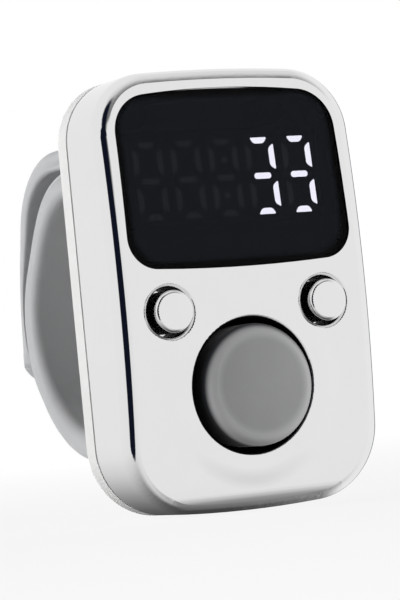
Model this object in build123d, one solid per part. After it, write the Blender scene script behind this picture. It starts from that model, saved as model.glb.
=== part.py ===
from build123d import *
import math
import os

# A finger tally counter: chrome front shell with a lit display and three buttons, pale rear
# cover, and two silicone arms that overlap into a finger loop.
# Millimetres, +Z up, the face towards -Y and the finger along X. The origin lies on the
# finger's axis, level with the middle of the case.

# Finger loop
finger_diameter = 17.2
loop_inner_radius = 11.15
loop_standoff = 6.4
loop_drop = 0.915

# Front face and case walls
face_radius = 128.0
side_margin = 1.55
top_margin = 1.79
bottom_margin = 5.03
case_top_bow = 0.6
case_bottom_bow = 0.8
case_top_corner = 5.7
case_bottom_corner = 6.5
edge_round = 1.2
chin_height = 1.7
chin_radius = 4.0
side_wall = 1.25
front_wall = 1.9

# Display window and lens
window_height = 16.12
window_side_margin = 0.92
window_side_taper = 0.26
window_top_bow = 0.79
window_bottom_bow = 0.44
window_top_corner = 3.6
window_bottom_corner = 2.85
lens_recess = 0.15
lens_thickness = 0.6
lens_clearance = 0.1
ledge_width = 0.8
tape_thickness = 0.1
tape_inset = 0.1

# Count button
window_to_count_hole = 4.55
count_hole_radius = 5.95
count_hole_lip = 0.3
count_button_clearance = 0.53
count_button_height = 1.93
count_button_dome = 0.6
count_button_round = 1.1
count_flange_lip = 0.65
count_flange_thickness = 0.6
count_travel = 0.5

# Side buttons
key_spacing = 15.54
key_drop = 3.53
key_hole_radius = 2.2
key_hole_lip = 0.4
key_clearance = 0.33
key_height = 1.05
key_dome = 0.08
key_round = 0.3
key_flange_lip = 0.65
key_flange_thickness = 0.5
key_stem_radius = 1.1
key_travel = 0.35
flange_gap = 0.1

# Switches
switch_height = 0.9
switch_spare_depth = 0.1
plunger_engagement = 0.1
plunger_clearance = 0.05
count_switch_size = 5.2
count_plunger_radius = 1.25
key_switch_length = 3.6
key_switch_width = 3.0
key_plunger_radius = 0.75
leg_width = 0.7
leg_thickness = 0.15
leg_reach = 0.5

# Circuit board, its parts and its fixings
board_thickness = 0.8
board_side_gap = 0.4
board_corner = 2.0
board_post_radius = 1.3
board_post_side_inset = 2.4
board_post_end_inset = 2.2
shelf_width = 0.9
shelf_height = 6.0
chip_length = 5.0
chip_width = 3.9
chip_height = 1.2
chip_gap = 0.8
small_part_length = 1.6
small_part_width = 0.8
small_part_height = 0.6
small_part_pitch = 2.2
small_part_count = 5

# Display module
digit_count = 5
lit_digit_count = 2
digit_pitch = 3.78
digit_rise = 3.18
digit_reach = 1.185
post_rise = 1.68
bar_width = 0.55
bar_length = 1.74
bar_inner_share = 0.62
post_width = 0.57
post_length = 2.38
post_inner_share = 0.66
segment_round = 0.5
segment_tip_round = 0.08
segment_thickness = 0.3
digit_lean_share = 0.047
dot_radius = 0.3
module_margin = 0.55
module_gap = 0.1

# Coin cell and contacts
cell_diameter = 16.0
cell_height = 1.6
cell_rim = 0.25
contact_thickness = 0.2
contact_width = 3.6
contact_foot = 1.6
contact_overlap = 2.0
negative_pad_radius = 3.5
well_clearance = 0.2
well_wall = 0.9
well_gap = 0.1

# Rear cover and battery door
rear_plate = 1.4
rear_lip = 2.5
rear_round = 0.8
seam_groove = 0.25
tongue_thickness = 1.0
tongue_height = 1.7
tongue_clearance = 0.1
door_margin = 1.6
door_thickness = 0.8
door_corner = 3.0
door_clearance = 0.12
door_tab_width = 6.0
door_tab_reach = 1.0
door_tab_thickness = 0.4
door_screw_inset = 2.0

# Screws
boss_radius = 1.4
boss_end_inset = 2.25
screw_radius = 0.6
screw_clearance = 0.1
screw_head_radius = 1.15
screw_head_height = 0.55
screw_grip = 2.8
board_screw_grip = 2.0
door_screw_grip = 1.6
screw_slot_width = 0.28
screw_slot_depth = 0.3

# Straps, lugs and pins
strap_width = 16.5
upper_strap_thickness = 2.0
lower_strap_thickness = 2.3
strap_gap = 0.2
strap_root_slack = 0.15
bend_radius = 6.3
bend_reach = 5.0
bend_turn = 74.0
waist_angle = 13.9
waist_thickness = 1.14
tip_angle = 27.0
tip_shoulder_angle = 14.6
tip_thickness = 1.56
tip_middle_thickness_share = 0.86
tip_middle_angle_share = 0.57
lower_tip_angle = 97.0
eye_radius = 1.6
eye_gap = 0.2
pin_radius = 0.6
pin_clearance = 0.05
lug_thickness = 1.7
lug_side_gap = 0.15

# One overrun serves all cuts, and one share of a hole's radius finds its rim
overrun = 1.0
rim_match_share = 0.1

# Case size: wide enough for the window, the cell with its contacts, and the side switches
module_half_width = (digit_count - 1) / 2 * digit_pitch + digit_reach + post_width / 2 + module_margin
module_half_height = digit_rise + bar_width / 2 + module_margin
window_bottom_half_width = module_half_width + ledge_width + window_side_margin
window_top_half_width = window_bottom_half_width - window_side_taper
cell_radius = cell_diameter / 2
well_radius = cell_radius + well_clearance
well_outer_radius = well_radius + well_wall
key_reach = key_spacing / 2 + key_switch_length / 2 + leg_reach
widest_inside = max(well_outer_radius + contact_foot, key_reach) + board_side_gap
half_width = max(window_bottom_half_width + side_margin, widest_inside + side_wall)
case_width = 2 * half_width
case_height = top_margin + window_height + window_to_count_hole + 2 * count_hole_radius + bottom_margin
half_height = case_height / 2
window_top = half_height - top_margin
window_bottom = window_top - window_height
window_middle = (window_top + window_bottom) / 2
count_z = window_bottom - window_to_count_hole - count_hole_radius
key_z = window_bottom - key_drop
key_xs = {"reset": -key_spacing / 2, "light": key_spacing / 2}


def sag(radius, z):
    """How far a cylinder of this radius falls away at height z from its crest."""
    return radius - math.sqrt(radius**2 - z**2)


# Depths, counted from the crest of the face towards the back
inner_face_radius = face_radius - front_wall
count_flange_radius = count_hole_radius + count_flange_lip
key_flange_radius = key_hole_radius + key_flange_lip
count_flange_depth = front_wall + sag(inner_face_radius, abs(count_z) + count_flange_radius) + flange_gap
key_flange_depth = front_wall + sag(inner_face_radius, abs(key_z) + key_flange_radius) + flange_gap
plunger_depth = count_flange_depth + count_flange_thickness
switch_depth = plunger_depth + max(count_travel, key_travel) + flange_gap / 2
board_depth = switch_depth + switch_height
board_back = board_depth + board_thickness
cell_depth = board_back + contact_thickness
cell_back = cell_depth + cell_height
rear_plate_depth = cell_back + contact_thickness + well_gap
case_depth = rear_plate_depth + rear_plate
seam_depth = case_depth - rear_lip
lens_back = lens_recess + lens_thickness
recess_depth = lens_back + tape_thickness

back_y = -finger_diameter / 2
front_y = back_y - case_depth
face_axis_y = front_y + face_radius

# Loop places
loop_y = back_y + loop_standoff
loop_z = -loop_drop
loop_outer_radius = loop_inner_radius + lower_strap_thickness
loop_mid_radius = loop_inner_radius + lower_strap_thickness / 2
hug_radius = loop_outer_radius + strap_gap
pin_y = back_y + eye_radius + eye_gap
upper_strap_underside = loop_z + hug_radius + strap_root_slack
upper_pin_z = upper_strap_underside + upper_strap_thickness - eye_radius
lower_pin_z = loop_z - math.sqrt(loop_mid_radius**2 - (pin_y - loop_y) ** 2)
pin_zs = {"upper": upper_pin_z, "lower": lower_pin_z}
lug_inner_x = strap_width / 2 + lug_side_gap
lug_outer_x = lug_inner_x + lug_thickness

# Places inside the case
cavity_half_width = half_width - side_wall
cavity_half_height = half_height - side_wall
boss_x = lug_inner_x - screw_head_radius - 2 * screw_clearance
boss_z = cavity_half_height - boss_end_inset
boss_places = [(sx * boss_x, sz * boss_z) for sx in (-1, 1) for sz in (-1, 1)]
board_half_width = cavity_half_width - board_side_gap
board_half_height = boss_z - boss_radius - board_side_gap / 2
spare_z = (well_outer_radius + board_half_height) / 2
post_x = board_half_width - board_post_side_inset
post_z = -board_half_height + board_post_end_inset
post_places = [(sx * post_x, post_z) for sx in (-1, 1)]
door_half = cell_radius + door_margin
door_screw_place = (door_half - door_screw_inset, -(door_half - door_screw_inset))
door_depth = case_depth - door_thickness


def prism(outline, near, far):
    """An outline drawn in X and Z, filled from depth near to depth far behind the crest."""
    return extrude(Plane.XZ.offset(-(front_y + far)) * outline, amount=far - near)


def rod(radius, place, near, far):
    """A round bar along Y at a place (x, z), between two depths."""
    return prism(Pos(*place) * Circle(radius), near, far)


def slab(width, height, place, near, far):
    """A flat block at a place (x, z), between two depths."""
    return prism(Pos(*place) * Rectangle(width, height), near, far)


def across(outline, half_length):
    """An outline drawn in Y and Z, filled to the same length on both sides of X zero."""
    return extrude(Plane.YZ * outline, amount=half_length, both=True)


def behind_face(depth):
    """Everything deeper than this behind the curved face."""
    return across(Pos(face_axis_y, 0) * Circle(face_radius - depth), case_width)


def under_chin():
    """What is taken away where the face rolls under towards its lower edge."""
    start = -half_height + chin_height
    turn = math.asin(start / face_radius)
    reach = face_radius - chin_radius
    centre_y = face_axis_y - reach * math.cos(turn)
    centre_z = reach * math.sin(turn)
    block = slab(2 * case_width, 2 * chin_height, (0, start - chin_height), -overrun, centre_y - front_y)
    return block - across(Pos(centre_y, centre_z) * Circle(chin_radius), 2 * case_width)


def bowed_outline(half_widths, ends, bows, corners, inset):
    """A rounded outline whose top and bottom edges bow out. Each pair gives the top value first."""
    top_z = ends[0] - bows[0]
    bottom_z = ends[1] + bows[1]
    top_left = (-half_widths[0], top_z)
    top_right = (half_widths[0], top_z)
    bottom_left = (-half_widths[1], bottom_z)
    bottom_right = (half_widths[1], bottom_z)
    face = make_face(
        [
            ThreePointArc(top_left, (0, ends[0]), top_right).edge(),
            Line(top_right, bottom_right).edge(),
            ThreePointArc(bottom_right, (0, ends[1]), bottom_left).edge(),
            Line(bottom_left, top_left).edge(),
        ]
    )
    face = fillet(face.vertices().sort_by(Axis.Y)[-2:], corners[0])
    face = fillet(face.vertices().sort_by(Axis.Y)[:2], corners[1])
    return offset(face, -inset) if inset else face


def case_outline(inset):
    return bowed_outline(
        (half_width, half_width), (half_height, -half_height), (case_top_bow, case_bottom_bow),
        (case_top_corner, case_bottom_corner), inset,
    )


def window_outline(inset):
    return bowed_outline(
        (window_top_half_width, window_bottom_half_width), (window_top, window_bottom),
        (window_top_bow, window_bottom_bow), (window_top_corner, window_bottom_corner), inset,
    )


def rim_of_hole(body, place, radius):
    """The front edge of a round hole at a place (x, z)."""
    rims = []
    for edge in body.edges():
        box = edge.bounding_box()
        slack = rim_match_share * radius
        as_wide = abs(box.size.X - 2 * radius) < slack
        in_line = abs(box.center().X - place[0]) < slack and abs(box.center().Z - place[1]) < slack
        if as_wide and in_line:
            rims.append(edge)
    return min(rims, key=lambda edge: edge.center().Y)


def make_front_bezel():
    block = prism(case_outline(0), -overrun, seam_depth) & behind_face(0)
    block -= under_chin()
    front, chin = block.faces().sort_by(Axis.Y)[:2]
    rim = (front.edges() + chin.edges()).filter_by(Axis.X, reverse=True)
    block = fillet(rim, edge_round)
    cavity = prism(case_outline(side_wall), 0, seam_depth + overrun) & behind_face(front_wall)
    shell = block - cavity
    inside = prism(case_outline(side_wall / 2), 0, case_depth) & behind_face(front_wall / 2)
    for place in boss_places:
        shell += rod(boss_radius, place, 0, rear_plate_depth) & inside
    for place in post_places:
        shell += rod(board_post_radius, place, 0, board_depth) & inside
    shelf_x = cavity_half_width - shelf_width / 2
    for side in (-1, 1):
        place = (side * (shelf_x + side_wall / 4), window_middle)
        shell += slab(shelf_width + side_wall / 2, shelf_height, place, 0, board_depth) & inside
    shell -= prism(window_outline(0), -overrun, board_depth) - behind_face(recess_depth)
    shell -= prism(window_outline(ledge_width), -overrun, board_depth)
    for place in boss_places:
        shell -= rod(screw_radius, place, rear_plate_depth - screw_grip, rear_plate_depth + overrun)
    for place in post_places:
        shell -= rod(screw_radius, place, board_depth - board_screw_grip, board_depth + overrun)
    shell -= rod(count_hole_radius, (0, count_z), -overrun, board_depth)
    for x in key_xs.values():
        shell -= rod(key_hole_radius, (x, key_z), -overrun, key_flange_depth)
    shell = fillet(rim_of_hole(shell, (0, count_z), count_hole_radius), count_hole_lip)
    for x in key_xs.values():
        shell = fillet(rim_of_hole(shell, (x, key_z), key_hole_radius), key_hole_lip)
    return shell


def make_lens():
    pane = prism(window_outline(lens_clearance), 0, board_depth)
    return pane & (behind_face(lens_recess) - behind_face(lens_back))


def make_lens_tape():
    ring = prism(window_outline(lens_clearance + tape_inset), 0, board_depth)
    ring -= prism(window_outline(ledge_width - tape_inset), -overrun, board_depth + overrun)
    return ring & (behind_face(lens_back) - behind_face(recess_depth))


def button(radius, top, dome, edge, flange_radius, flange_near, flange_far, place):
    """A domed cap with a rounded edge, and a flange that keeps it inside the shell."""
    ball_radius = (radius**2 + dome**2) / (2 * dome)
    ball = Pos(place[0], front_y + top + ball_radius, place[1]) * Sphere(ball_radius)
    cap = rod(radius, place, top - overrun, flange_far) & ball
    cap = fillet(cap.edges().sort_by(Axis.Y)[0], edge)
    return cap + rod(flange_radius, place, flange_near, flange_far)


def make_count_button():
    radius = count_hole_radius - count_button_clearance
    top = sag(face_radius, count_z) - count_button_height
    return button(
        radius, top, count_button_dome, count_button_round,
        count_flange_radius, count_flange_depth, plunger_depth, (0, count_z),
    )


def make_key(x):
    radius = key_hole_radius - key_clearance
    top = sag(face_radius, key_z) - key_height
    flange_back = key_flange_depth + key_flange_thickness
    cap = button(
        radius, top, key_dome, key_round, key_flange_radius, key_flange_depth, flange_back, (x, key_z)
    )
    return cap + rod(key_stem_radius, (x, key_z), key_flange_depth, plunger_depth)


def make_switch(length, width, plunger_radius, travel, place):
    body = slab(length, width, place, switch_depth, board_depth)
    hole_end = switch_depth + plunger_engagement + travel + switch_spare_depth
    return body - rod(plunger_radius + plunger_clearance, place, switch_depth - overrun, hole_end)


def make_plunger(radius, place):
    return rod(radius, place, plunger_depth, switch_depth + plunger_engagement)


def make_switch_legs():
    legs = []
    switches = [(0, count_z, count_switch_size, count_switch_size)]
    for x in key_xs.values():
        switches.append((x, key_z, key_switch_length, key_switch_width))
    for x, z, length, width in switches:
        for sx in (-1, 1):
            for sz in (-1, 1):
                place = (x + sx * (length + leg_reach) / 2, z + sz * (width / 2 - leg_width))
                legs.append(slab(leg_reach, leg_width, place, board_depth - leg_thickness, board_depth))
    return Compound(children=legs)


def make_board():
    outline = RectangleRounded(2 * board_half_width, 2 * board_half_height, board_corner)
    board = prism(outline, board_depth, board_back)
    for place in post_places:
        board -= rod(screw_radius + screw_clearance, place, board_depth - overrun, board_back + overrun)
    return board


def make_chip():
    return slab(chip_length, chip_width, (0, -spare_z), board_back, board_back + chip_height)


def make_chip_components():
    """A row of small parts above the cell, and one on either side of the chip below it."""
    places = []
    for number in range(small_part_count):
        places.append(((number - (small_part_count - 1) / 2) * small_part_pitch, spare_z))
    for side in (-1, 1):
        places.append((side * ((chip_length + small_part_length) / 2 + chip_gap), -spare_z))
    top = board_back + small_part_height
    blocks = [slab(small_part_length, small_part_width, place, board_back, top) for place in places]
    return Compound(children=blocks)


# Display module: its front clears the curved inner face
module_depth = recess_depth + sag(inner_face_radius, window_middle + module_half_height) + module_gap


def tapered_bar(long_half, short_half, width):
    """A bar along X, longer at its upper edge, with all its corners rounded."""
    rim = width / 2
    face = make_face(
        Polyline(
            (-long_half, rim), (long_half, rim), (short_half, -rim), (-short_half, -rim), close=True
        ).edges()
    )
    face = fillet(face.vertices().sort_by(Axis.Y)[-2:], segment_tip_round)
    return fillet(face.vertices().sort_by(Axis.Y)[:2], segment_round)


def end_bar(side):
    """Top or bottom bar of a digit: longer along its outer edge."""
    half = bar_length / 2
    return Rot(0, 0, 90 - 90 * side) * tapered_bar(half, bar_inner_share * half, bar_width)


def side_post(side):
    """Upright bar of a digit: longer along its outer edge, with slanting ends."""
    half = post_length / 2
    return Rot(0, 0, -90 * side) * tapered_bar(half, post_inner_share * half, post_width)


def digit_segments(x):
    """The seven bars of a digit, by their usual letters, each an outline at its place."""
    lean = Rot(0, 0, math.degrees(math.atan(digit_lean_share)))
    centres = {
        "a": (0, digit_rise, end_bar(1)),
        "b": (digit_reach, post_rise, side_post(1)),
        "c": (digit_reach, -post_rise, side_post(1)),
        "d": (0, -digit_rise, end_bar(-1)),
        "e": (-digit_reach, -post_rise, side_post(-1)),
        "f": (-digit_reach, post_rise, side_post(-1)),
        "g": (0, 0, SlotOverall(bar_length, bar_width)),
    }
    placed = {}
    for letter, (dx, dz, outline) in centres.items():
        turn = Rot() if letter in "adg" else lean
        placed[letter] = Pos(x + dx - digit_lean_share * dz, window_middle + dz) * turn * outline
    return placed


def make_segments():
    """Lit and dark bars. The last two digits show a three."""
    lit = []
    dark = []
    for number in range(digit_count):
        x = (number - (digit_count - 1) / 2) * digit_pitch
        for letter, outline in digit_segments(x).items():
            solid = prism(outline, module_depth, module_depth + segment_thickness)
            if number >= digit_count - lit_digit_count and letter in "abcdg":
                lit.append(solid)
            else:
                dark.append(solid)
    for level in (-1, 1):
        place = (0, window_middle + level * digit_rise / 2)
        dark.append(rod(dot_radius, place, module_depth, module_depth + segment_thickness))
    return lit, dark


def make_module(segments):
    place = (0, window_middle)
    block = slab(2 * module_half_width, 2 * module_half_height, place, module_depth, board_depth)
    return block - segments


# Cell, contacts and rear
def make_cell():
    can = rod(cell_radius, (0, 0), cell_depth + cell_rim, cell_back)
    cap = rod(cell_radius - 2 * cell_rim, (0, 0), cell_depth, cell_depth + cell_rim)
    return can + cap


def make_negative_contact():
    pad = rod(negative_pad_radius, (0, 0), board_back, cell_depth)
    length = well_outer_radius + contact_foot
    return pad + slab(length, contact_width, (-length / 2, 0), board_back, cell_depth)


def make_positive_contact():
    wall_x = cell_radius + well_clearance
    top = cell_back + contact_thickness
    lid_x = wall_x - contact_overlap / 2 + contact_thickness / 2
    foot_x = wall_x + contact_foot / 2
    clip = slab(contact_overlap + contact_thickness, contact_width, (lid_x, 0), cell_back, top)
    clip += slab(contact_thickness, contact_width, (wall_x + contact_thickness / 2, 0), board_back, top)
    return clip + slab(contact_foot, contact_width, (foot_x, 0), board_back, cell_depth)


def door_outline(clearance):
    size = 2 * (door_half - clearance)
    return RectangleRounded(size, size, door_corner - clearance)


def door_tab(clearance):
    width = door_tab_width + 2 * clearance
    height = door_tab_reach + door_margin + clearance
    place = (0, door_half - door_margin + height / 2)
    return slab(width, height, place, door_depth - door_tab_thickness - clearance, door_depth)


def lug(side, pin_z):
    length = pin_y - back_y + rear_plate / 2
    base = Pos(pin_y - length / 2, pin_z) * Rectangle(length, 2 * eye_radius)
    outline = base + Pos(pin_y, pin_z) * Circle(eye_radius)
    outline -= Pos(pin_y, pin_z) * Circle(pin_radius)
    middle = (lug_inner_x + lug_outer_x) / 2
    return Pos(side * middle, 0, 0) * across(outline, lug_thickness / 2)


def make_rear_cover():
    plate = prism(case_outline(0), seam_depth + seam_groove, case_depth)
    plate = fillet(plate.faces().sort_by(Axis.Y)[-1].edges(), rear_round)
    plate += prism(case_outline(seam_groove), seam_depth, seam_depth + 2 * seam_groove)
    plate -= prism(case_outline(side_wall), seam_depth - overrun, rear_plate_depth)
    tongue_outline = case_outline(side_wall + tongue_clearance)
    tongue = prism(tongue_outline, rear_plate_depth - tongue_height, rear_plate_depth + rear_plate / 2)
    tongue -= prism(
        case_outline(side_wall + tongue_clearance + tongue_thickness),
        rear_plate_depth - tongue_height - overrun, rear_plate_depth + overrun,
    )
    for place in boss_places:
        tongue -= rod(boss_radius + tongue_clearance, place, 0, rear_plate_depth)
    cover = plate + tongue
    well_near = cell_depth + well_gap
    cover += rod(well_outer_radius, (0, 0), well_near, rear_plate_depth + rear_plate / 4)
    cover += rod(boss_radius, door_screw_place, door_depth - door_screw_grip, door_depth)
    cover -= rod(well_radius, (0, 0), 0, case_depth + overrun)
    notch_width = well_wall + contact_foot
    notch_height = contact_width + 2 * well_clearance
    cover -= slab(notch_width, notch_height, (well_outer_radius, 0), 0, rear_plate_depth)
    cover -= prism(door_outline(0), door_depth, case_depth + overrun)
    cover -= door_tab(door_clearance)
    cover -= rod(screw_radius, door_screw_place, door_depth - door_screw_grip - overrun, case_depth)
    head_depth = case_depth - screw_head_height - screw_clearance
    for place in boss_places:
        cover -= rod(screw_radius + screw_clearance, place, 0, case_depth + overrun)
        cover -= rod(screw_head_radius + screw_clearance, place, head_depth, case_depth + overrun)
    for pin_z in pin_zs.values():
        for side in (-1, 1):
            cover += lug(side, pin_z)
    return cover


def make_door():
    panel = prism(door_outline(door_clearance), door_depth, case_depth)
    plug_depth = cell_back + contact_thickness + well_gap / 2
    panel += rod(well_radius - door_clearance, (0, 0), plug_depth, door_depth + door_thickness / 2)
    panel += door_tab(0)
    head_depth = case_depth - screw_head_height - screw_clearance
    head_room = screw_head_radius + screw_clearance
    panel -= rod(screw_radius + screw_clearance, door_screw_place, 0, case_depth + overrun)
    return panel - rod(head_room, door_screw_place, head_depth, case_depth + overrun)


def screw(place, seat, grip):
    """A small pan-head screw from the back: its head sits on the depth seat."""
    head = rod(screw_head_radius, place, seat, seat + screw_head_height)
    shank = rod(screw_radius, place, seat - grip, seat + screw_head_height / 2)
    body = head + shank
    top = seat + screw_head_height
    for size in ((screw_head_radius, screw_slot_width), (screw_slot_width, screw_head_radius)):
        body -= slab(*size, place, top - screw_slot_depth, top + overrun)
    return body


def make_case_screws():
    seat = case_depth - screw_head_height - screw_clearance
    grip = seat - rear_plate_depth + screw_grip - screw_clearance
    return Compound(children=[screw(place, seat, grip) for place in boss_places])


def make_board_screws():
    grip = board_thickness + board_screw_grip - screw_clearance
    return Compound(children=[screw(place, board_back, grip) for place in post_places])


def make_door_screw():
    seat = case_depth - screw_head_height - screw_clearance
    return screw(door_screw_place, seat, seat - door_depth + door_screw_grip)


# Straps
def loop_point(radius, angle):
    """A point of the loop, in Y and Z, at an angle above the straight-back direction."""
    turn = math.radians(angle)
    return (loop_y + radius * math.cos(turn), loop_z + radius * math.sin(turn))


def bend_point(centre, radius, turn):
    """A point of the upper strap's bend, after it has turned down by this angle."""
    a = math.radians(turn)
    return (centre[0] + radius * math.sin(a), centre[1] + radius * math.cos(a))


def strap(band, pin_z):
    """A band drawn in Y and Z, with an eye for its pin, made as wide as the strap."""
    outline = band + Pos(pin_y, pin_z) * Circle(eye_radius)
    outline -= Pos(pin_y, pin_z) * Circle(pin_radius + pin_clearance)
    return across(outline, strap_width / 2)


def make_upper_strap():
    underside = upper_strap_underside
    topside = underside + upper_strap_thickness
    centre = (loop_y + bend_reach, underside - bend_radius)
    outer = bend_radius + upper_strap_thickness
    rise = centre[1] - loop_z
    lean = math.acos((hug_radius - bend_radius) / math.hypot(rise, bend_reach))
    leave = math.degrees(math.atan2(rise, bend_reach) - lean)
    turn = 90 - leave
    hug_end = loop_point(hug_radius, leave)
    bend_start = bend_point(centre, bend_radius, turn)
    shoulder = loop_point(hug_radius + tip_thickness, -tip_shoulder_angle)
    tip = loop_point(hug_radius, -tip_angle)
    bend_end = bend_point(centre, outer, bend_turn)
    waist = loop_point(hug_radius + waist_thickness, waist_angle)
    middle_angle = tip_shoulder_angle + tip_middle_angle_share * (tip_angle - tip_shoulder_angle)
    end_middle = loop_point(hug_radius + tip_middle_thickness_share * tip_thickness, -middle_angle)
    band = make_face(
        [
            Line((pin_y, underside), (pin_y, topside)).edge(),
            Line((pin_y, topside), (centre[0], topside)).edge(),
            ThreePointArc((centre[0], topside), bend_point(centre, outer, bend_turn / 2), bend_end).edge(),
            ThreePointArc(bend_end, waist, shoulder).edge(),
            ThreePointArc(shoulder, end_middle, tip).edge(),
            ThreePointArc(tip, loop_point(hug_radius, (leave - tip_angle) / 2), hug_end).edge(),
            Line(hug_end, bend_start).edge(),
            ThreePointArc(
                bend_start, bend_point(centre, bend_radius, turn / 2), (centre[0], underside)
            ).edge(),
            Line((centre[0], underside), (pin_y, underside)).edge(),
        ]
    )
    return strap(band, upper_pin_z)


def make_lower_strap():
    root_angle = math.degrees(math.atan2(lower_pin_z - loop_z, pin_y - loop_y))
    angles = (root_angle, (root_angle + lower_tip_angle) / 2, lower_tip_angle)
    outside = [loop_point(loop_outer_radius, angle) for angle in angles]
    inside = [loop_point(loop_inner_radius, angle) for angle in angles]
    band = make_face(
        [
            ThreePointArc(*outside).edge(),
            Line(outside[-1], inside[-1]).edge(),
            ThreePointArc(*inside).edge(),
            Line(inside[0], outside[0]).edge(),
        ]
    )
    return strap(band, lower_pin_z)


def make_pin(pin_z):
    return across(Pos(pin_y, pin_z) * Circle(pin_radius), lug_outer_x)


lit_segments, dark_segments = make_segments()
parts = {
    "front_bezel": make_front_bezel(),
    "display_lens": make_lens(),
    "lens_tape": make_lens_tape(),
    "lit_segments": Compound(children=lit_segments),
    "dark_segments": Compound(children=dark_segments),
    "led_housing": make_module(lit_segments + dark_segments),
    "count_button": make_count_button(),
    "count_switch": make_switch(
        count_switch_size, count_switch_size, count_plunger_radius, count_travel, (0, count_z)
    ),
    "count_plunger": make_plunger(count_plunger_radius, (0, count_z)),
    "switch_legs": make_switch_legs(),
    "circuit_board": make_board(),
    "controller_chip": make_chip(),
    "chip_components": make_chip_components(),
    "coin_cell": make_cell(),
    "negative_contact": make_negative_contact(),
    "positive_contact": make_positive_contact(),
    "rear_cover": make_rear_cover(),
    "battery_door": make_door(),
    "battery_door_screw": make_door_screw(),
    "case_screws": make_case_screws(),
    "board_screws": make_board_screws(),
    "upper_strap": make_upper_strap(),
    "lower_strap": make_lower_strap(),
}
for key, x in key_xs.items():
    parts[key + "_button"] = make_key(x)
    parts[key + "_switch"] = make_switch(
        key_switch_length, key_switch_width, key_plunger_radius, key_travel, (x, key_z)
    )
    parts[key + "_plunger"] = make_plunger(key_plunger_radius, (x, key_z))
for end, pin_z in pin_zs.items():
    parts[end + "_strap_pin"] = make_pin(pin_z)

os.makedirs("parts", exist_ok=True)
for name, shape in parts.items():
    export_step(shape, "parts/" + name + ".step")
print("case", case_width, case_depth, case_height, "pins", pin_y, upper_pin_z, lower_pin_z)
print("count_z", count_z, "key_z", key_z, "board", board_depth, "front_y", front_y)
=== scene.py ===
import math

import bpy
from mathutils import Matrix, Vector
from mathutils.geometry import tessellate_polygon


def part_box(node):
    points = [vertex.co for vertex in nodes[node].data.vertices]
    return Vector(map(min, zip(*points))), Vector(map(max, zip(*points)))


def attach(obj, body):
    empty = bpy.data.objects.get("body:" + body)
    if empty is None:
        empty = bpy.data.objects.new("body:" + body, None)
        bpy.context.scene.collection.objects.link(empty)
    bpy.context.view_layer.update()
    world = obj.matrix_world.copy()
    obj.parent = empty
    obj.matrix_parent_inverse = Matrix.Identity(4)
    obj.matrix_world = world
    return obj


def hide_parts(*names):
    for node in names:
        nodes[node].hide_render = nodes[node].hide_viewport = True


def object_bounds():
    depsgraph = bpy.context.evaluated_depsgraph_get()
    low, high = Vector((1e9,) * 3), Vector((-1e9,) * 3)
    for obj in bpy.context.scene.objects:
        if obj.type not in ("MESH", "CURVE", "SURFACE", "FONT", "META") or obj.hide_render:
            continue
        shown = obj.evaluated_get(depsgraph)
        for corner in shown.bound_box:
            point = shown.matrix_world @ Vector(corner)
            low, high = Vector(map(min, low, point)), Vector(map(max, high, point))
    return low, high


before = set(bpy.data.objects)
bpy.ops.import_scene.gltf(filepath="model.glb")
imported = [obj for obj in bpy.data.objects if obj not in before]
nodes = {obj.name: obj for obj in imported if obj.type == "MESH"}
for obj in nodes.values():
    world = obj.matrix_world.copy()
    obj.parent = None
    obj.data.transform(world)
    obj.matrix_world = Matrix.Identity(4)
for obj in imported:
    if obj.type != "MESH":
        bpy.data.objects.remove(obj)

cad_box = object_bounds()
MM = 0.001


def middle(node):
    """The middle of a node's box."""
    low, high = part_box(node)
    return (low + high) / 2


# Places on the case
front_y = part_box("front_bezel")[0].y
half_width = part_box("front_bezel")[1].x
half_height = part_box("front_bezel")[1].z
count_place = middle("count_button")
face_radius = 128.0 * MM
case_corner = 5.7 * MM
lens_corner = 3.4 * MM

# Camera, at the photograph's angle: from the left of the face, a little below the middle
camera_offset = Vector((-121.68, -215.327, -1.21)) * MM
camera_place = Vector((0, front_y, count_place.z)) + camera_offset
camera_forward = Vector((0.4769, 0.8782, 0.0368))
camera_roll = math.radians(5.54)
camera_lens = 168.4
camera_sensor = 36.0
camera_near = 0.01
camera_far = 10.0

# Both straps
strap_half_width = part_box("upper_strap")[1].x
strap_edge = 1.0 * MM
strap_corner = 4.5 * MM
edge_steps = 8
pin_y = middle("upper_strap_pin").y
upper_pin_z = middle("upper_strap_pin").z
lower_pin_z = middle("lower_strap_pin").z
eye_radius = 1.6 * MM
pin_hole = 0.65 * MM
hole_steps = 32

# Lower strap: a loop, with its angles above the straight-back direction
loop_outer = 13.45 * MM
loop_thickness = 2.3 * MM
loop_inner = loop_outer - loop_thickness
loop_centre = Vector((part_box("lower_strap")[1].y - loop_outer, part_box("lower_strap")[0].z + loop_outer))
loop_steps = 90
lower_end = math.radians(97)
lower_end_steps = 14
lower_root = math.atan2(lower_pin_z - loop_centre.y, pin_y - loop_centre.x)
root_outside = lower_root + math.radians(5.5)
root_inside = lower_root + math.radians(6)
lower_eye = (lower_root + math.radians(136), lower_root + math.radians(404))
lower_eye_steps = 32

# Where the loop leaves its circle: height, and place and width in degrees
drawn_in = (-0.5 * MM, 32, 22)
fuller = (0.42 * MM, 68, 24)

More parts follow.
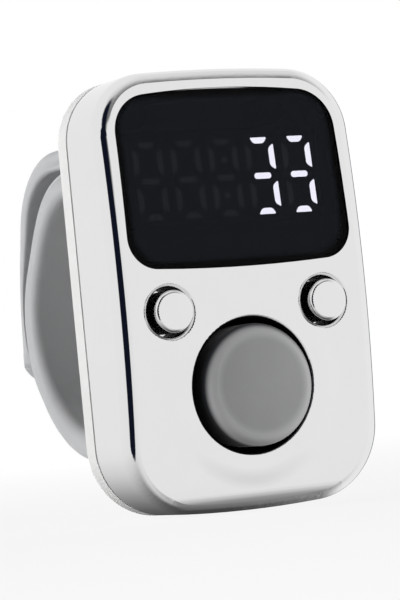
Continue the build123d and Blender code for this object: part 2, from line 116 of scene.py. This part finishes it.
# Upper strap: straight back from its pin, round a bend, then down over the loop
hug_gap = 0.08 * MM
hug_radius = loop_outer + hug_gap
upper_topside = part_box("upper_strap")[1].z
upper_thickness = 2.0 * MM
upper_underside = upper_topside - upper_thickness
upper_eye = (math.pi / 2, math.radians(315))
upper_eye_steps = 20
neck_ys = (-5.0 * MM, -4.4 * MM, -3.6 * MM)
neck_steps = 6
bend_radius = 6.3 * MM
bend_reach = 5.0 * MM
bend_centre = Vector((loop_centre.x + bend_reach, upper_underside - bend_radius))
bend_end = math.radians(16)
bend_steps = 24
hug_steps = 40
tip_angle = math.radians(27)
tip_pull = Vector((0.45, -0.02)) * MM
tip_steps = 14
shoulder_height = 1.95 * MM
shoulder_angle = math.radians(-14.6)
shoulder_pull = Vector((0.05, 0.9)) * MM
shoulder_line = Vector((0.05, -1)).normalized()
back_steps = 24

# Rounding of the straps' edges
upper_inner_edge = (0.14 * MM, 0.45 * MM)
upper_inner_growth = 0.4
upper_tip_edge = 0.03 * MM
upper_tip_growth = 0.16
lower_free_edge = 0.5 * MM
lower_covered_edge = 0.15 * MM

# Turns of the loop, in degrees, where the upper strap starts to cover it and covers it whole
cover_fades = ((32, 12), (-34, -24))


def link(obj):
    """Puts an object into the scene."""
    bpy.context.scene.collection.objects.link(obj)
    return obj


def mesh_object(name, verts, faces, smooth=True):
    """A new object with a mesh of its own."""
    mesh = bpy.data.meshes.new(name)
    mesh.from_pydata([tuple(v) for v in verts], [], faces)
    mesh.validate()
    mesh.update()
    mesh.polygons.foreach_set("use_smooth", [smooth] * len(mesh.polygons))
    return link(bpy.data.objects.new(name, mesh))


# Shader nodes
class Nodes:
    """A node tree, with helpers that add nodes and link or set their inputs."""

    def __init__(self, tree):
        self.tree = tree

    def feed(self, socket, value):
        """Links another socket to an input, or sets a constant there."""
        if isinstance(value, bpy.types.NodeSocket):
            self.tree.links.new(value, socket)
        else:
            socket.default_value = value

    def add(self, kind, **inputs):
        """A new node, with inputs given by name, or by number as i0, i1 and so on."""
        node = self.tree.nodes.new(kind)
        for key, value in inputs.items():
            numbered = key[0] == "i" and key[1:].isdigit()
            self.feed(node.inputs[int(key[1:]) if numbered else key], value)
        return node

    def maths(self, operation, first, second):
        node = self.add("ShaderNodeMath", i0=first, i1=second)
        node.operation = operation
        return node.outputs[0]

    def vector(self, operation, first, second=(0.0, 0.0, 0.0)):
        node = self.add("ShaderNodeVectorMath", i0=first, i1=second)
        node.operation = operation
        return node.outputs["Value" if operation in ("LENGTH", "DOT_PRODUCT") else "Vector"]

    def ramp(self, value, start, end):
        """A smooth step from 0 at start to 1 at end."""
        node = self.add("ShaderNodeMapRange", i0=value, i1=start, i2=end)
        node.interpolation_type = "SMOOTHSTEP"
        return node.outputs["Result"]

    def spread(self, value, low, high, start=0.3, end=0.7):
        """Takes the range from start to end, or the middle of a noise, to the range from low to high."""
        node = self.add("ShaderNodeMapRange", i0=value, i1=start, i2=end, i3=low, i4=high)
        return node.outputs["Result"]

    def blend(self, factor, first, second):
        """A colour between two, each a socket or three numbers."""
        node = self.add("ShaderNodeMix", i0=factor)
        node.data_type = "RGBA"
        for socket, colour in ((node.inputs[6], first), (node.inputs[7], second)):
            self.feed(socket, colour if isinstance(colour, bpy.types.NodeSocket) else (*colour, 1.0))
        return node.outputs[2]


class Paint(Nodes):
    """One material: a Principled shader with helpers for its procedural detail."""

    def __init__(self, name, colour, roughness, metallic=0.0, specular=0.5):
        self.mat = bpy.data.materials.new(name)
        self.mat.use_nodes = True
        super().__init__(self.mat.node_tree)
        self.shader = self.tree.nodes["Principled BSDF"]
        self.place = self.add("ShaderNodeTexCoord").outputs["Object"]
        self.colour = colour
        self.set("Base Color", (*colour, 1.0))
        self.set("Roughness", roughness)
        self.set("Metallic", metallic)
        self.set("Specular IOR Level", specular)

    def set(self, name, value):
        """Sets or links an input of the shader."""
        self.feed(self.shader.inputs[name], value)

    def across(self, vector):
        """A vector without its Y, which runs through the face."""
        return self.vector("MULTIPLY", vector, (1.0, 0.0, 1.0))

    def inset(self, centre, half_size, corner):
        """How far a point lies inside a rounded rectangle drawn in X and Z, up to its corner radius."""
        away = self.vector("ABSOLUTE", self.vector("SUBTRACT", self.place, centre))
        core = (half_size[0] - corner, 0.0, half_size[1] - corner)
        away = self.across(self.vector("SUBTRACT", away, core))
        beyond = self.vector("LENGTH", self.vector("MAXIMUM", away))
        return self.maths("SUBTRACT", corner, beyond)

    def from_axis(self, centre):
        """How far a point lies from the line along Y through a centre."""
        return self.vector("LENGTH", self.across(self.vector("SUBTRACT", self.place, centre)))

    def depth(self):
        """How far a point lies behind the curved face."""
        parts = self.add("ShaderNodeSeparateXYZ", Vector=self.place).outputs
        fall = self.maths("DIVIDE", self.maths("MULTIPLY", parts["Z"], parts["Z"]), 2 * face_radius)
        return self.maths("SUBTRACT", self.maths("SUBTRACT", parts["Y"], front_y), fall)

    def noise(self, grain, detail=3.0, vector=None):
        """Noise from 0 to 1 with features of about this size, in metres."""
        place = vector or self.place
        node = self.add("ShaderNodeTexNoise", Vector=place, Scale=1.0 / grain, Detail=detail)
        return node.outputs["Fac"]

    def mottled(self, grain, dark, light):
        """The paint's colour in patches of about this size, from a dark to a light share of it."""
        return self.blend(self.noise(grain), shade(self.colour, dark), shade(self.colour, light))

    def hazed(self):
        """The colour of bright plating, with a faint haze."""
        return self.mottled(3.0 * MM, dark=0.985, light=1.01)

    def hairlines(self, low, high):
        """Roughness from low to high in fine hairs that run up the face, as from wiping."""
        hair_width = 0.25 * MM
        hair_scale = (1.0, 1.0, 0.06)
        stretched = self.add("ShaderNodeMapping", Vector=self.place, Scale=hair_scale)
        return self.spread(self.noise(hair_width, vector=stretched.outputs["Vector"]), low, high)

    def rough(self, value, low, high):
        """Roughness from low to high, by a noise."""
        self.set("Roughness", self.spread(value, low, high))

    def bump(self, value, height):
        """Relief of this height, in metres, by a value from 0 to 1."""
        node = self.add("ShaderNodeBump", Height=value, Strength=1.0, Distance=height)
        self.set("Normal", node.outputs["Normal"])


# Materials
def shade(colour, factor):
    """A colour times a factor."""
    return tuple(c * factor for c in colour)


def plated(name, colour, low, high):
    """Bright plating: faint haze, and hairlines with a roughness from low to high."""
    paint = Paint(name, colour, low, metallic=1.0)
    paint.set("Base Color", paint.hazed())
    paint.set("Roughness", paint.hairlines(low, high))
    return paint.mat


def chrome_shell():
    """Plating outside, and a faint swell round the thumb button; black in the holes and inside the shell,
    partly bare moulding and partly painted shade where the recesses fall dark.
    """
    bare_and_shade_depth = (0.28 * MM, 0.40 * MM)
    bare_and_shade_inset = (1.8 * MM, 1.95 * MM)
    bare_and_shade_colour = (0.004, 0.005, 0.010)
    bare_and_shade_roughness = 0.6
    swell_edge = (9.2 * MM, 7.2 * MM)
    swell_height = 0.06 * MM
    paint = Paint("chrome_shell", (0.79, 0.79, 0.79), roughness=0.05, metallic=1.0)
    # Black where the shell lies deeper than the face and inside its edge: partly bare moulding, partly
    # painted shade on the walls of the holes and the window
    deep = paint.ramp(paint.depth(), *bare_and_shade_depth)
    well_in = paint.ramp(paint.inset((0, 0, 0), (half_width, half_height), case_corner), *bare_and_shade_inset)
    bare_and_shade = paint.maths("MULTIPLY", deep, well_in)
    paint.set("Base Color", paint.blend(bare_and_shade, paint.hazed(), bare_and_shade_colour))
    rough_inside = paint.maths("MULTIPLY", bare_and_shade, bare_and_shade_roughness)
    paint.set("Roughness", paint.maths("MAXIMUM", paint.hairlines(low=0.035, high=0.07), rough_inside))
    paint.bump(paint.ramp(paint.from_axis(count_place), *swell_edge), swell_height)
    return paint.mat


def thumb_grey():
    """Satin metallic paint with a blasted grain, a painted highlight round the shoulder, and painted shade
    going to black down the side.
    """
    highlight_edge = (3.8 * MM, 5.0 * MM)
    highlight_share = 1.42
    side_shade_depth = (-1.36 * MM, -0.62 * MM)
    side_shade_colour = (0.04, 0.042, 0.05)
    foot_shade_depth = (-0.7 * MM, 0.05 * MM)
    foot_shade_colour = (0.004, 0.004, 0.006)
    paint = Paint("thumb_grey", (0.42, 0.422, 0.425), roughness=0.64, metallic=1.0)
    paint.set("Sheen Weight", 0.4)
    paint.set("Sheen Roughness", 0.35)
    colour = paint.mottled(1.8 * MM, dark=0.97, light=1.03)
    # A lighter ring round the shoulder: a painted highlight where the dome's rim catches the light
    painted_highlight = paint.ramp(paint.from_axis(count_place), *highlight_edge)
    colour = paint.blend(painted_highlight, colour, shade(paint.colour, highlight_share))
    # Darker, then black, down the side and foot: painted shade where the cap sinks into its gap
    depth = paint.depth()
    colour = paint.blend(paint.ramp(depth, *side_shade_depth), colour, side_shade_colour)
    paint.set("Base Color", paint.blend(paint.ramp(depth, *foot_shade_depth), colour, foot_shade_colour))
    fine = paint.noise(0.06 * MM, detail=2.0)
    paint.rough(fine, low=0.60, high=0.68)
    paint.bump(fine, height=0.0006 * MM)
    return paint.mat


def moulded(name, colour, roughness, grain, height, specular=0.5):
    """Moulded plastic or rubber: fine spark-eroded grain and a little mottling."""
    roughness_spread = 0.06
    paint = Paint(name, colour, roughness, specular=specular)
    paint.set("Base Color", paint.mottled(2.5 * MM, dark=0.95, light=1.04))
    fine = paint.noise(grain, detail=2.0)
    paint.rough(fine, roughness - roughness_spread, roughness + roughness_spread)
    paint.bump(fine, height)
    return paint.mat


def silicone():
    """Matte grey silicone, a little translucent, with a fine grain."""
    paint = Paint("grey_silicone", (0.54, 0.545, 0.555), roughness=0.55, specular=0.35)
    paint.set("Subsurface Weight", 0.12)
    paint.set("Subsurface Radius", (0.9 * MM, 0.85 * MM, 0.8 * MM))
    paint.set("Subsurface Scale", 1.0)
    paint.set("Base Color", paint.mottled(4.0 * MM, dark=0.96, light=1.03))
    fine = paint.noise(0.12 * MM, detail=2.0)
    paint.rough(fine, low=0.48, high=0.62)
    paint.bump(fine, height=0.004 * MM)
    return paint.mat


def smoked(alpha):
    """Smoked acrylic, blacker in a band round its border."""
    border_edge = (0.35 * MM, 1.0 * MM)
    border_colour = (0.0005, 0.0005, 0.0008)
    smoke_colour = (0.025, 0.031, 0.042)
    paint = Paint("smoked_lens", (0.014, 0.014, 0.017), roughness=0.05, specular=0.06)
    paint.set("Alpha", alpha)
    low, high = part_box("display_lens")
    size = (high - low) / 2
    inside = paint.inset(middle("display_lens"), (size.x, size.z), lens_corner)
    paint.set("Base Color", paint.blend(paint.ramp(inside, *border_edge), border_colour, smoke_colour))
    paint.rough(paint.noise(1.5 * MM), low=0.03, high=0.08)
    return paint.mat


def glowing(name, strength, dim, bright):
    """A diffuser that glows, a little uneven as its lamp sits behind one spot; it also gives the unlit
    segments a faint painted glow.
    """
    paint = Paint(name, (0.5, 0.5, 0.52), roughness=0.4)
    paint.set("Emission Strength", strength)
    paint.set("Emission Color", paint.blend(paint.noise(0.8 * MM), dim, bright))
    return paint.mat


def board_green():
    """Green solder mask, with the tracks under it a little raised."""
    tracks_per_metre = 220.0
    paint = Paint("green_board", (0.02, 0.12, 0.05), roughness=0.35)
    tracks = paint.add("ShaderNodeTexBrick", Vector=paint.place, Scale=tracks_per_metre).outputs["Fac"]
    paint.set("Base Color", paint.blend(tracks, (0.015, 0.10, 0.04), (0.03, 0.17, 0.07)))
    paint.bump(tracks, height=0.02 * MM)
    return paint.mat


# The diffusers are seen through both faces of the lens, so they shine brighter by what it holds back
lens_alpha = 0.75
lens_passes = (1 - lens_alpha) ** 2
lit_seen = 0.96
# The unlit segments have no lamp: their faint glow is painted light, for the room light they scatter back
# through the lens
unlit_glow_seen = 0.006

lit_colours = ((0.84, 0.82, 1.0), (0.95, 0.94, 1.0))
unlit_glow_colours = ((0.75, 0.72, 0.78), (1.0, 0.96, 1.0))
tape_black = (0.006, 0.006, 0.006)
plastic_black = (0.008, 0.008, 0.009)
ivory = (0.75, 0.72, 0.62)
clay = (0.28, 0.19, 0.12)
white = (0.86, 0.86, 0.85)
fine_grain = {"grain": 0.08 * MM, "height": 0.002 * MM}
even_grain = {"grain": 0.1 * MM, "height": 0.003 * MM}
rough_grain = {"grain": 0.12 * MM, "height": 0.004 * MM}
finishes = {
    "chrome_shell": chrome_shell(),
    "chrome_keys": plated("chrome_keys", (0.79, 0.79, 0.795), low=0.03, high=0.07),
    "smoked_lens": smoked(lens_alpha),
    "black_tape": moulded("black_tape", tape_black, roughness=0.6, **even_grain, specular=0.2),
    "lit_diffuser": glowing("lit_diffuser", lit_seen / lens_passes, *lit_colours),
    # Unlit segments: a faint painted glow
    "dark_diffuser": glowing("dark_diffuser", unlit_glow_seen / lens_passes, *unlit_glow_colours),
    "black_plastic": moulded("black_plastic", plastic_black, roughness=0.5, **rough_grain, specular=0.2),
    "thumb_grey": thumb_grey(),
    "ivory_plastic": moulded("ivory_plastic", ivory, roughness=0.45, **even_grain),
    "nickel_strip": plated("nickel_strip", (0.62, 0.58, 0.50), low=0.18, high=0.32),
    "green_board": board_green(),
    "ceramic": moulded("ceramic", clay, roughness=0.5, **fine_grain),
    "cell_steel": plated("cell_steel", (0.66, 0.66, 0.65), low=0.16, high=0.30),
    "white_plastic": moulded("white_plastic", white, roughness=0.42, **rough_grain),
    "screw_steel": plated("screw_steel", (0.55, 0.55, 0.56), low=0.22, high=0.38),
    "grey_silicone": silicone(),
}
for node in nodes.values():
    for index, old in enumerate(node.data.materials):
        node.data.materials[index] = finishes[old.name.split(".")[0]]


# Lines of the straps, in Y and Z
def around(centre, radius, angle):
    """A point at an angle above the straight-back direction."""
    return Vector((centre.x + radius * math.cos(angle), centre.y + radius * math.sin(angle)))


def arc(centre, radius, start, end, count):
    """Points from one angle to another."""
    return [around(centre, radius, start + (end - start) * i / count) for i in range(count + 1)]


def curve(p0, p1, p2, p3, count):
    """A cubic Bezier curve."""
    points = []
    for i in range(count + 1):
        t = i / count
        s = 1 - t
        points.append(p0 * s**3 + p1 * 3 * s * s * t + p2 * 3 * s * t * t + p3 * t**3)
    return points


def clean(points, least=0.02 * MM):
    """The points of a closed outline, without those that all but repeat the last."""
    kept = [points[0]]
    for point in points[1:]:
        if (point - kept[-1]).length > least:
            kept.append(point)
    if (kept[0] - kept[-1]).length <= least:
        kept.pop()
    return kept


def drawn(outline, amounts):
    """A closed outline drawn in at each point by an amount, along its own normal."""
    count = len(outline)
    area = sum(outline[i - 1].cross(outline[i]) for i in range(count))
    sign = 1 if area > 0 else -1
    result = []
    for i, point in enumerate(outline):
        along = (outline[(i + 1) % count] - outline[i - 1]).normalized()
        result.append(point + Vector((-along.y, along.x)) * sign * amounts[i])
    return result


def share(value, start, end):
    """How far a value is on its way from start to end, held between 0 and 1."""
    return min(1.0, max(0.0, (value - start) / (end - start)))


# Upper strap
upper_tip = around(loop_centre, hug_radius, -tip_angle)


def upper_outline():
    """Along the underside from the pin to the tip, then back over the shoulder and the top."""
    apart = bend_centre - loop_centre
    leave = math.atan2(apart.y, apart.x) - math.acos((hug_radius - bend_radius) / apart.length)
    points = arc(Vector((pin_y, upper_pin_z)), eye_radius, *upper_eye, upper_eye_steps)
    points += curve(points[-1], *(Vector((y, upper_underside)) for y in neck_ys), neck_steps)
    points += arc(bend_centre, bend_radius, math.pi / 2, leave, bend_steps)
    points += arc(loop_centre, hug_radius, leave, -tip_angle, hug_steps)
    shoulder = around(loop_centre, hug_radius + shoulder_height, shoulder_angle)
    points += curve(upper_tip, upper_tip + tip_pull, shoulder - shoulder_pull, shoulder, tip_steps)
    outer = bend_radius + upper_thickness
    back_end = around(bend_centre, outer, bend_end)
    down = around(Vector((0, 0)), 1, bend_end - math.pi / 2)
    pull = (back_end - shoulder).length / 3
    points += curve(shoulder, shoulder - shoulder_line * pull, back_end + down * pull, back_end, back_steps)
    points += arc(bend_centre, outer, bend_end, math.pi / 2, bend_steps)
    return points


def upper_depth(point):
    """How far a point lies outside the upper strap's inner face."""
    if point.x < bend_centre.x:
        depth = point.y - bend_centre.y - bend_radius
    else:
        depth = min((point - bend_centre).length - bend_radius, (point - loop_centre).length - hug_radius)
    return max(0.0, depth)


def upper_rounding(point):
    """The rounding of the upper strap's edges: small against the lower strap and at the tip."""
    least, most = upper_inner_edge
    gap = max(0.0, (point - loop_centre).length - hug_radius)
    inside = min(most, least + upper_inner_growth * gap)
    near_tip = upper_tip_edge + upper_tip_growth * (point - upper_tip).length
    return min(near_tip, inside + (strap_edge - inside) * share(upper_depth(point), 0, upper_thickness))


# Lower strap
lower_tip = around(loop_centre, (loop_inner + loop_outer) / 2, lower_end)


def hump(turn, height, place, width):
    """A smooth rise of this height round a place, in degrees."""
    return height * math.exp(-(((turn - place) / width) ** 2))


def bent(radius, start, end):
    """An arc of the lower strap: drawn in where the upper strap leaves it, fuller above that."""
    points = []
    for i in range(loop_steps + 1):
        angle = start + (end - start) * i / loop_steps
        turn = math.degrees(angle)
        points.append(around(loop_centre, radius + hump(turn, *fuller) + hump(turn, *drawn_in), angle))
    return points


def lower_outline():
    """Along the outside from the root to the end, back along the inside, and round the pin."""
    points = bent(loop_outer, root_outside, lower_end)
    points += arc(lower_tip, loop_thickness / 2, lower_end, lower_end + math.pi, lower_end_steps)
    points += bent(loop_inner, lower_end, root_inside)
    points += arc(Vector((pin_y, lower_pin_z)), eye_radius, *lower_eye, lower_eye_steps)
    return points


def lower_rounding(point):
    """The rounding of the lower strap's edges: large inside, and least where the upper strap lies on it."""
    away = point - loop_centre
    turn = math.degrees(math.atan2(away.y, away.x))
    covered = math.prod(share(turn, *fade) for fade in cover_fades)
    outside = lower_free_edge + (lower_covered_edge - lower_free_edge) * covered
    return outside + (strap_edge - outside) * share(away.length, loop_outer, loop_inner)


# Meshes of the straps
def strap_rings(outline, tip, rounding):
    """The outline at each step across X, drawn in at both edges, and narrower round the tip's corners."""
    edges = [min(strap_edge, rounding(point)) for point in outline]
    widths = []
    for point in outline:
        near = max(0.0, strap_corner - (point - tip).length)
        widths.append(strap_half_width - (strap_corner - math.sqrt(strap_corner**2 - near**2)))
    turns = [math.pi / 2 * i / edge_steps for i in range(edge_steps + 1)]
    rings = []
    for side, order in ((-1, turns[::-1]), (1, turns)):
        for turn in order:
            line = drawn(outline, [e * (1 - math.cos(turn)) for e in edges])
            rings.append([
                (side * (w - e + e * math.sin(turn)), q.x, q.y)
                for q, w, e in zip(line, widths, edges)
            ])
    return rings


def strap(name, outline, tip, pin_z, body, rounding):
    """A strap with soft edges: its outline is carried across X, round a pin hole."""
    rings = strap_rings(clean(outline), tip, rounding)
    count = len(rings[0])
    verts = [v for ring in rings for v in ring]
    faces = []
    for r in range(len(rings) - 1):
        for i in range(count):
            j = (i + 1) % count
            faces.append((r * count + i, r * count + j, (r + 1) * count + j, (r + 1) * count + i))
    hole = arc(Vector((pin_y, pin_z)), pin_hole, 0, 2 * math.pi * (1 - 1 / hole_steps), hole_steps - 1)
    left = len(verts)
    right = left + hole_steps
    verts += [(x, q.x, q.y) for x in (-strap_half_width, strap_half_width) for q in hole]
    for i in range(hole_steps):
        j = (i + 1) % hole_steps
        faces.append((left + j, left + i, right + i, right + j))
    for edge, hole_start, faces_right in ((0, left, False), ((len(rings) - 1) * count, right, True)):
        ids = [*range(edge, edge + count), *range(hole_start, hole_start + hole_steps)]
        flat = [Vector((verts[k][1], verts[k][2], 0)) for k in ids]
        for tri in tessellate_polygon([flat[:count], flat[count:]]):
            face = tuple(ids[k] for k in tri)
            a, b, c = (Vector(verts[k]) for k in face)
            turned_right = (b - a).cross(c - a).x > 0
            faces.append(face if turned_right == faces_right else face[::-1])
    obj = mesh_object(name, verts, faces)
    obj.data.materials.append(finishes["grey_silicone"])
    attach(obj, body)
    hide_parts(body.replace("_arm", "_strap"))


strap("upper_strap_skin", upper_outline(), upper_tip, upper_pin_z, "upper_arm", upper_rounding)
strap("lower_strap_skin", lower_outline(), lower_tip, lower_pin_z, "lower_arm", lower_rounding)


# Stage: world, floor, lights and camera
def at(azimuth, elevation):
    """A direction, by its angle left of straight ahead of the face, and its elevation."""
    turn = math.radians(azimuth)
    rise = math.radians(elevation)
    return (-math.sin(turn) * math.cos(rise), -math.cos(turn) * math.cos(rise), math.sin(rise))


class Room(Nodes):
    """The world's node tree, with helpers that draw a room by direction alone."""

    def __init__(self, tree):
        super().__init__(tree)
        self.where = self.add("ShaderNodeTexCoord").outputs["Generated"]

    def facing(self, direction):
        """The cosine of the angle to a direction."""
        return self.vector("DOT_PRODUCT", self.where, Vector(direction).normalized())

    def within(self, direction, wide, narrow):
        """1 within a narrow angle of a direction, fading to 0 at a wide one, in degrees."""
        start, end = (math.cos(math.radians(angle)) for angle in (wide, narrow))
        return self.ramp(self.facing(direction), start, end)

    def greys(self, value, low, high, stops):
        """Greys along a value that runs from low to high, from stops of (value, grey)."""
        level = self.spread(value, 0.0, 1.0, start=low, end=high)
        ramp = self.add("ShaderNodeValToRGB", i0=level)
        elements = ramp.color_ramp.elements
        while len(elements) < len(stops):
            elements.new(0.5)
        for element, (place, grey) in zip(elements, stops):
            element.position = (place - low) / (high - low)
            element.color = (grey, grey, grey, 1)
        return ramp.outputs["Color"]

    def by_height(self, stops):
        """Greys by elevation, from stops of (elevation in degrees, grey)."""
        heights = [(math.sin(math.radians(elevation)), grey) for elevation, grey in stops]
        return self.greys(self.facing((0, 0, 1)), -1, 1, heights)

    def by_turn(self, stops):
        """Greys as the case's wall shows them to the camera, from its left, 0, to its bottom, 90."""
        parts = self.add("ShaderNodeSeparateXYZ", i0=self.where).outputs
        down = self.maths("SUBTRACT", camera_forward.z, parts["Z"])
        aside = self.maths("SUBTRACT", camera_forward.x, parts["X"])
        turns = [(math.radians(turn), grey) for turn, grey in stops]
        return self.greys(self.maths("ARCTAN2", down, aside), 0, math.pi / 2, turns)


def mirrored_room(room):
    """What the chrome mirrors: pale walls over a dark floor, with bright and dark panels."""
    low = room.by_height([
        (-90, 0.10), (-78, 0.14), (-53, 0.18), (-42.5, 0.24), (-35.5, 0.27), (-31, 0.36), (-25.5, 0.58),
        (-21.5, 0.72), (-18, 0.90), (-15, 0.97), (90, 0.97),
    ])
    low_left = room.by_turn([
        (0, 0.97), (12, 0.92), (25, 0.76), (35, 0.56), (45, 0.36), (55, 0.22), (65, 0.13), (80, 0.07),
        (90, 0.06),
    ])
    high = room.by_height([
        (-90, 0.97), (22, 0.97), (24.5, 0.23), (31, 0.25), (36, 0.42), (42, 0.58), (47, 0.70), (56, 0.81),
        (70, 0.93), (90, 0.97),
    ])
    # What lies to the left and behind, by how far a direction points right and back
    to_right = room.facing((1, 0, 0))
    to_back = room.facing((0, 1, 0))
    left = room.ramp(to_right, 0.42, 0.15)
    behind = room.maths("MULTIPLY", room.ramp(to_back, -0.3, 0.2), room.ramp(to_right, 0.75, 0.5))
    face_mirrors = (camera_forward.x, -camera_forward.y, camera_forward.z)
    soft_left = room.blend(room.within(face_mirrors, 72, 8), low_left, (0.93, 0.93, 0.93))
    seen = room.blend(behind, room.blend(left, low, soft_left), low_left)
    night = (0.006, 0.008, 0.018)
    dusk = (0.22, 0.23, 0.26)
    # Each panel's direction, the angles where it fades out and is whole, and its colour
    panels = [
        (at(-40, 45), 50, 38, high),
        ((1, 0, 0), 63, 40, (1.0, 1.0, 1.0)),
        (at(14, 30), 24, 14, night),
        (at(32, 2), 27, 22, night),
        (at(-131, 0), 24, 14, dusk),
    ]
    for direction, wide, narrow, colour in panels:
        seen = room.blend(room.within(direction, wide, narrow), seen, colour)
    return seen


def make_world():
    """White behind the object, a room in its reflections, and a faint even light on the rest."""
    world = bpy.data.worlds.new("studio")
    bpy.context.scene.world = world
    world.use_nodes = True
    world.node_tree.nodes.clear()
    room = Room(world.node_tree)
    path = room.add("ShaderNodeLightPath").outputs
    colour = room.blend(path["Is Camera Ray"], mirrored_room(room), (1.0, 1.0, 1.0))
    seen = room.add("ShaderNodeBackground", Color=colour)
    soft = room.add("ShaderNodeBackground", Color=(0.95, 0.97, 1.0, 1.0), Strength=0.05)
    shows = room.maths("MAXIMUM", path["Is Camera Ray"], path["Is Glossy Ray"])
    shows = room.maths("MAXIMUM", shows, path["Is Transmission Ray"])
    mix = room.add("ShaderNodeMixShader", Fac=shows, i1=soft.outputs[0], i2=seen.outputs[0])
    room.add("ShaderNodeOutputWorld", Surface=mix.outputs[0])


def make_floor():
    """A pale floor that keeps the object's shadow, and fades to white away from it."""
    half = 4.0
    gap = 0.02 * MM
    grey = 0.7
    fade_start = 0.04
    fade_end = 0.30
    white_near = 0.88
    z = cad_box[0].z - gap
    corners = [(-half, -half, z), (half, -half, z), (half, half, z), (-half, half, z)]
    floor = mesh_object("floor", corners, [(0, 1, 2, 3)], smooth=False)
    mat = bpy.data.materials.new("pale_floor")
    mat.use_nodes = True
    mat.node_tree.nodes.clear()
    tree = Nodes(mat.node_tree)
    far = tree.vector("LENGTH", tree.add("ShaderNodeTexCoord").outputs["Object"])
    whiteness = tree.spread(far, white_near, 1.0, start=fade_start, end=fade_end)
    shows = tree.maths("MULTIPLY", tree.add("ShaderNodeLightPath").outputs["Is Camera Ray"], whiteness)
    matt = tree.add("ShaderNodeBsdfDiffuse", Color=(grey, grey, grey, 1))
    glow = tree.add("ShaderNodeEmission", Color=(1, 1, 1, 1))
    mix = tree.add("ShaderNodeMixShader", Fac=shows, i1=matt.outputs[0], i2=glow.outputs[0])
    tree.add("ShaderNodeOutputMaterial", Surface=mix.outputs[0])
    floor.data.materials.append(mat)
    floor.visible_glossy = False


def soft_box(name, place, size, power):
    """A square lamp that faces the object and isn't mirrored in it, with its power in watts."""
    light = bpy.data.lights.new(name, "AREA")
    light.shape = "SQUARE"
    light.size = size
    light.energy = power
    obj = link(bpy.data.objects.new(name, light))
    obj.location = place
    obj.rotation_euler = (-Vector(place)).to_track_quat("-Z", "Y").to_euler()
    obj.visible_glossy = False
    obj.visible_camera = False


def make_camera():
    """The camera, at the photograph's angle."""
    camera = bpy.data.cameras.new("camera")
    camera.lens = camera_lens
    camera.sensor_width = camera_sensor
    camera.clip_start = camera_near
    camera.clip_end = camera_far
    obj = link(bpy.data.objects.new("camera", camera))
    turn = camera_forward.to_track_quat("-Z", "Y").to_matrix()
    obj.matrix_world = (
        Matrix.Translation(camera_place)
        @ turn.to_4x4()
        @ Matrix.Rotation(-camera_roll, 4, "Z")
    )
    bpy.context.scene.camera = obj


make_world()
make_floor()
soft_box("key", place=(-0.45, 0.25, 0.12), size=0.30, power=2.7)
soft_box("fill", place=(0.30, -0.50, 0.35), size=0.40, power=0.8)
soft_box("back", place=(0.30, 0.45, 0.35), size=0.40, power=0.5)
make_camera()
bpy.context.scene.view_settings.view_transform = "Standard"
